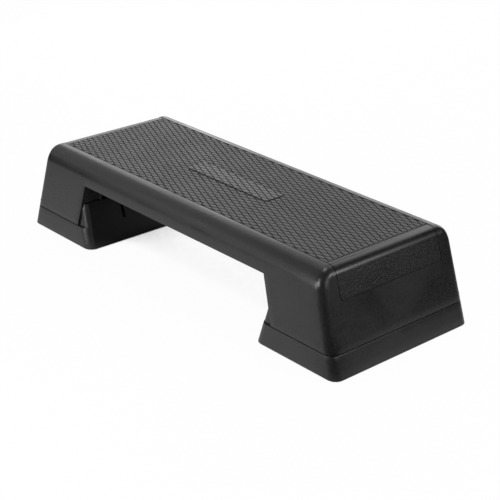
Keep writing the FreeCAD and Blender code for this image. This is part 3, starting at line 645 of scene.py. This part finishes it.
material, wire = new_finish("mat_rubber")
place = wire.node("ShaderNodeTexCoord", output="Object")
spot = wire.node("ShaderNodeSeparateXYZ", values={0: place}, output="Z")
cloud = wire.node("ShaderNodeTexNoise", values={"Vector": place, "Scale": 14, "Detail": 4})
grain = wire.node("ShaderNodeTexNoise", values={"Vector": place, "Scale": 1500, "Detail": 2})
# Painted shade: below the tile tops, the grooves' walls and floors are darkened to near black.
groove_shade = wire.node("ShaderNodeMapRange",
                  values={0: spot, 1: tile_top - 0.0007, 2: tile_top - 0.0001, 3: 0, 4: 1})
tone = wire.node("ShaderNodeMix", {"data_type": "RGBA"},
                 {0: cloud, 6: (0.030, 0.030, 0.031, 1), 7: (0.045, 0.045, 0.046, 1)}, 2)
tone = wire.node("ShaderNodeMix", {"data_type": "RGBA"}, {0: groove_shade, 6: (0.005, 0.005, 0.005, 1), 7: tone}, 2)
on_plate = wire.node("ShaderNodeMapRange", values={0: spot, 1: 0.20003, 2: 0.20008, 3: 0, 4: 1})
raised = wire.node("ShaderNodeMapRange", values={0: spot, 1: 0.2006, 2: 0.20105, 3: 0, 4: 1})
# Painted shade on the plate: its grooves and lower walls are near black, and its raised tile tops are a
# lighter grey.
plate_shade_and_tops = wire.node("ShaderNodeMix", {"data_type": "RGBA"},
                 {0: raised, 6: (0.005, 0.005, 0.005, 1), 7: (0.090, 0.090, 0.091, 1)}, 2)
tone = wire.node("ShaderNodeMix", {"data_type": "RGBA"}, {0: on_plate, 6: tone, 7: plate_shade_and_tops}, 2)
bump = wire.node("ShaderNodeBump", values={"Strength": 0.4, "Distance": 0.0002, "Height": grain})
shader = wire.node("ShaderNodeBsdfPrincipled", values={
    "Base Color": tone, "Roughness": 0.42 + 0.14 * cloud + 0.08 * grain, "Normal": bump})
wire.node("ShaderNodeOutputMaterial", values={"Surface": shader})
tread_mat.data.materials.append(material)
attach(tread_mat, "deck")
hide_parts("tread_mat")


# End covers. Thin black plastic strips that lie in the channel from the mat's ends over the rounded end
# edges, and end in a panel on the end face. The panel is grained, and the bend is smooth.

cover_start, cover_low, cover_half, cover_shift = 0.411, 0.13755, 0.1349, 0.0009
cover_recess, cover_soft, cover_foot, cover_corner = 0.0007, 0.0004, 0.0001, channel_corner - 0.0005


def make_cover(end):
    """The channel's profile, moved in by the recess for the face and by the channel's depth for the
    underside, carried across the width; near its edges the face tucks in on a quarter circle."""
    fine = cover_soft * soft_shares
    low_z = cover_low + np.concatenate([fine, np.linspace(0.001, channel_corner, 7)])
    flat_z = np.linspace(low_z[-1], bend_z + (end_round - cover_recess) * end_lean / slant, 8)[1:]
    turn = np.linspace(math.atan(end_lean), math.pi / 2, 22)[1:]
    tail = np.linspace(bend_x, cover_start + cover_soft, 4)[1:]
    tail = np.concatenate([tail, (cover_start + fine)[-2::-1]])
    z = np.concatenate([low_z, flat_z])
    width = channel_edge(z, cover_half, cover_corner, cover_low)
    width = np.concatenate([width, np.full(len(turn) + len(tail), cover_half)])
    gap = np.concatenate([z - cover_low, np.full(len(turn), 1.0), tail - cover_start])
    share = np.concatenate([-1 + soft_shares * cover_soft / cover_half, np.linspace(-0.98, 0.98, 25),
                            1 - soft_shares[::-1] * cover_soft / cover_half])
    y = width[:, None] * share
    tuck = np.maximum(soft_tuck(width[:, None] - np.abs(y), cover_soft), soft_tuck(gap, cover_foot)[:, None])
    faces = []
    for inset in (cover_recess + tuck, np.full(y.shape, channel_depth)):
        flat_x = end_half - end_lean * z[:, None] - inset[:len(z)] * slant
        radius = end_round - inset[len(z):len(z) + len(turn)]
        rest = inset[len(z) + len(turn):]
        x = np.concatenate([flat_x, bend_x + radius * np.cos(turn)[:, None], tail[:, None] + 0 * rest])
        height = np.concatenate([
            z[:, None] + 0 * flat_x, bend_z + radius * np.sin(turn)[:, None], deck_height - rest])
        faces.append(np.stack([x * end, y + cover_shift, height], axis=-1))
    over, under = faces
    cover = Moulding()
    cover.grid(over)
    cover.grid(under)
    for edge in (np.s_[:, 0], np.s_[:, -1], np.s_[0], np.s_[-1]):
        cover.grid(np.stack([over[edge], under[edge]]))
    return cover


material, wire = new_finish("cover_plastic")
place = wire.node("ShaderNodeTexCoord", output="Object")
spot = wire.node("ShaderNodeSeparateXYZ", values={0: place}, output="Z")
panel = wire.node("ShaderNodeMapRange", {"interpolation_type": "SMOOTHSTEP"},
                  {0: spot, 1: 0.187, 2: 0.178, 3: 0, 4: 1})
cloud = wire.node("ShaderNodeTexNoise", values={"Vector": place, "Scale": 11, "Detail": 3})
pebble = wire.node("ShaderNodeTexNoise", values={"Vector": place, "Scale": 300, "Detail": 3})
pebble = wire.node("ShaderNodeMapRange", values={0: pebble, 1: 0.36, 2: 0.64, 3: 0, 4: 1})
tone = wire.node("ShaderNodeMix", {"data_type": "RGBA"},
                 {0: pebble, 6: (0.001, 0.001, 0.0011, 1), 7: (0.013, 0.013, 0.0134, 1)}, 2)
bump = wire.node("ShaderNodeBump", values={"Strength": 0.8, "Distance": 0.00032, "Height": pebble * panel})
shader = wire.node("ShaderNodeBsdfPrincipled", values={
    "Base Color": tone, "Roughness": 0.24 + 0.12 * cloud + 0.02 * panel, "Normal": bump})
wire.node("ShaderNodeOutputMaterial", values={"Surface": shader})
for name, end in (("left", -1), ("right", 1)):
    cover = make_cover(end).finish(f"{name}_end_cover_strip")
    cover.data.materials.append(material)
    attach(cover, "deck")
    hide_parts(f"{name}_end_cover")


# Stage. A white floor that looks plain white to the camera. The glow it shows in reflections is painted: it
# is brightest near the front, faded towards the right, and has painted shade where the floor is enclosed. A
# dim room, and soft boxes
# of even white light: a wall of light and a box on the left, two behind, one above, two along the front, and
# three round the right end.

floor_half, floor_z = 30, -0.0002
floor_mesh = bpy.data.meshes.new("floor")
floor_corners = [(x * floor_half, y * floor_half, floor_z) for x, y in ((-1, -1), (1, -1), (1, 1), (-1, 1))]
floor_mesh.from_pydata(floor_corners, [], [(0, 1, 2, 3)])
floor = bpy.data.objects.new("floor", floor_mesh)
bpy.context.scene.collection.objects.link(floor)
material, wire = new_finish("floor_white")
place = wire.node("ShaderNodeTexCoord", output="Object")
# Painted pool of light in the glow seen in reflections: brightest near the front of the step, fading away
# from it.
away = wire.node("ShaderNodeVectorMath", {"operation": "DISTANCE"}, {0: place, 1: (0, -0.5, 0)}, "Value")
near = wire.node("ShaderNodeMapRange", {"interpolation_type": "SMOOTHSTEP"},
                 {0: away, 1: 0.4, 2: 1.9, 3: 0.76, 4: 0.05})
past = wire.node("ShaderNodeVectorMath", {"operation": "DOT_PRODUCT"},
                 {0: place, 1: (0.75, -0.66, 0)}, "Value")
# Painted fade: the reflected glow goes dark past a line beyond the right end, towards the camera.
painted_side_fade = wire.node("ShaderNodeMapRange", {"interpolation_type": "SMOOTHSTEP"},
                      {0: past, 1: 0.42, 2: 0.57, 3: 1, 4: 0.05})
# Painted shade: the reflected glow darkens where the floor is enclosed, as under the deck and inside the
# feet.
opening = wire.node("ShaderNodeAmbientOcclusion", values={"Distance": 0.6}, output="AO")
painted_floor_shade = wire.node("ShaderNodeMapRange", values={0: opening, 1: 0.22, 2: 0.52, 3: 0, 4: 1})
outside = wire.node("ShaderNodeMapRange", values={0: opening, 1: 0.06, 2: 0.16, 3: 0, 4: 1})
seen = wire.node("ShaderNodeLightPath", output="Is Camera Ray")
mirrored = wire.node("ShaderNodeLightPath", output="Is Glossy Ray")
paint = wire.node("ShaderNodeBsdfDiffuse", values={"Color": (0.93, 0.93, 0.93, 1)})
glow = wire.node("ShaderNodeEmission", values={"Color": (1, 1, 1, 1), "Strength": 1})
pale = wire.node("ShaderNodeMixShader", values={0: 0.97 * outside, 1: paint, 2: glow})
# Painted reflection: the floor glows for reflections only, with the painted pool, fade and shade.
painted_reflection_glow = wire.node("ShaderNodeEmission", values={"Color": painted_floor_shade * near * painted_side_fade, "Strength": 1})
surface = wire.node("ShaderNodeMixShader", values={0: mirrored, 1: paint, 2: painted_reflection_glow})
surface = wire.node("ShaderNodeMixShader", values={0: seen, 1: surface, 2: pale})
below = wire.node("ShaderNodeNewGeometry", output="Backfacing")
clear = wire.node("ShaderNodeBsdfTransparent", values={"Color": (1, 1, 1, 1)})
surface = wire.node("ShaderNodeMixShader", values={0: below, 1: surface, 2: clear})
wire.node("ShaderNodeOutputMaterial", values={"Surface": surface})
floor_mesh.materials.append(material)

world = bpy.data.worlds.new("room")
world.use_nodes = True
world.node_tree.nodes.clear()
bpy.context.scene.world = world
wire = Wire(world.node_tree)
seen = wire.node("ShaderNodeLightPath", output="Is Camera Ray")
room = wire.node("ShaderNodeMix", {"data_type": "RGBA"},
                 {0: seen, 6: (0.09, 0.09, 0.09, 1), 7: (1, 1, 1, 1)}, 2)
sky = wire.node("ShaderNodeBackground", values={"Color": room, "Strength": 1.0})
wire.node("ShaderNodeOutputWorld", values={"Surface": sky})


def soft_box(name, place, aim, width, height, glow):
    """Rectangular lamp that faces its aim; glow is its brightness where white paper in full light is 1."""
    lamp = bpy.data.lights.new(name, "AREA")
    lamp.shape = "RECTANGLE"
    lamp.size, lamp.size_y = width, height
    lamp.energy = glow * math.pi * width * height
    stand = bpy.data.objects.new(name, lamp)
    stand.location = place
    stand.rotation_euler = (Vector(aim) - Vector(place)).to_track_quat("-Z", "Y").to_euler()
    stand.visible_camera = False
    bpy.context.scene.collection.objects.link(stand)


soft_box("left_wall", (-2.2, -0.6, 1.85), (0, -0.6, 1.45), 3.2, 2.1, 0.67)
soft_box("left_box", (-1.85, 1.0, 1.15), (0, 0, 0.2), 1.1, 1.6, 1.8)
soft_box("back_box", (-1.2, 2.35, 0.8), (0, 0, 0.2), 2.6, 1.6, 1.4)
soft_box("high_box", (-0.1, 1.5, 1.5), (0.3, 0, 0.2), 1.1, 0.8, 2.2)
soft_box("front_box", (-1.1, -1.5, 0.7), (0.2, 0, 0.2), 1.0, 1.1, 0.8)
soft_box("front_strip", (-0.2, -1.65, 0.3), (0.2, 0, 0.2), 0.5, 0.6, 8.0)
soft_box("right_box", (1.67, 0.26, 0.73), (0.45, -0.1, 0.19), 1.7, 0.46, 2.9)
soft_box("corner_box", (1.58, 0.62, 0.82), (0.45, -0.16, 0.19), 0.3, 0.3, 14.0)
soft_box("near_box", (0.41, -1.75, 0.79), (0.45, -0.16, 0.19), 0.42, 0.42, 18.0)
soft_box("top_box", (-0.6, 0.3, 3.2), (-0.2, 0, 0.2), 1.0, 1.0, 7.5)

# Camera. Place, aim, roll and lens are those of the view that fits the object's straight edges.
camera_place, camera_aim = Vector((1.9757, -1.6995, 1.2294)), Vector((0.0501, 0, 0.0604))
ahead = (camera_aim - camera_place).normalized()
right = ahead.cross(Vector((0, 0, 1))).normalized()
roll = math.radians(0.2853)
tilted = right * math.cos(roll) + right.cross(ahead) * math.sin(roll)
lens = bpy.data.cameras.new("camera")
lens.lens, lens.sensor_width = 97.48, 36
camera = bpy.data.objects.new("camera", lens)
axes = Matrix((tilted, tilted.cross(ahead), -ahead)).transposed().to_4x4()
camera.matrix_world = Matrix.Translation(camera_place) @ axes
bpy.context.scene.collection.objects.link(camera)
bpy.context.scene.camera = camera
bpy.context.scene.view_settings.view_transform = "Standard"
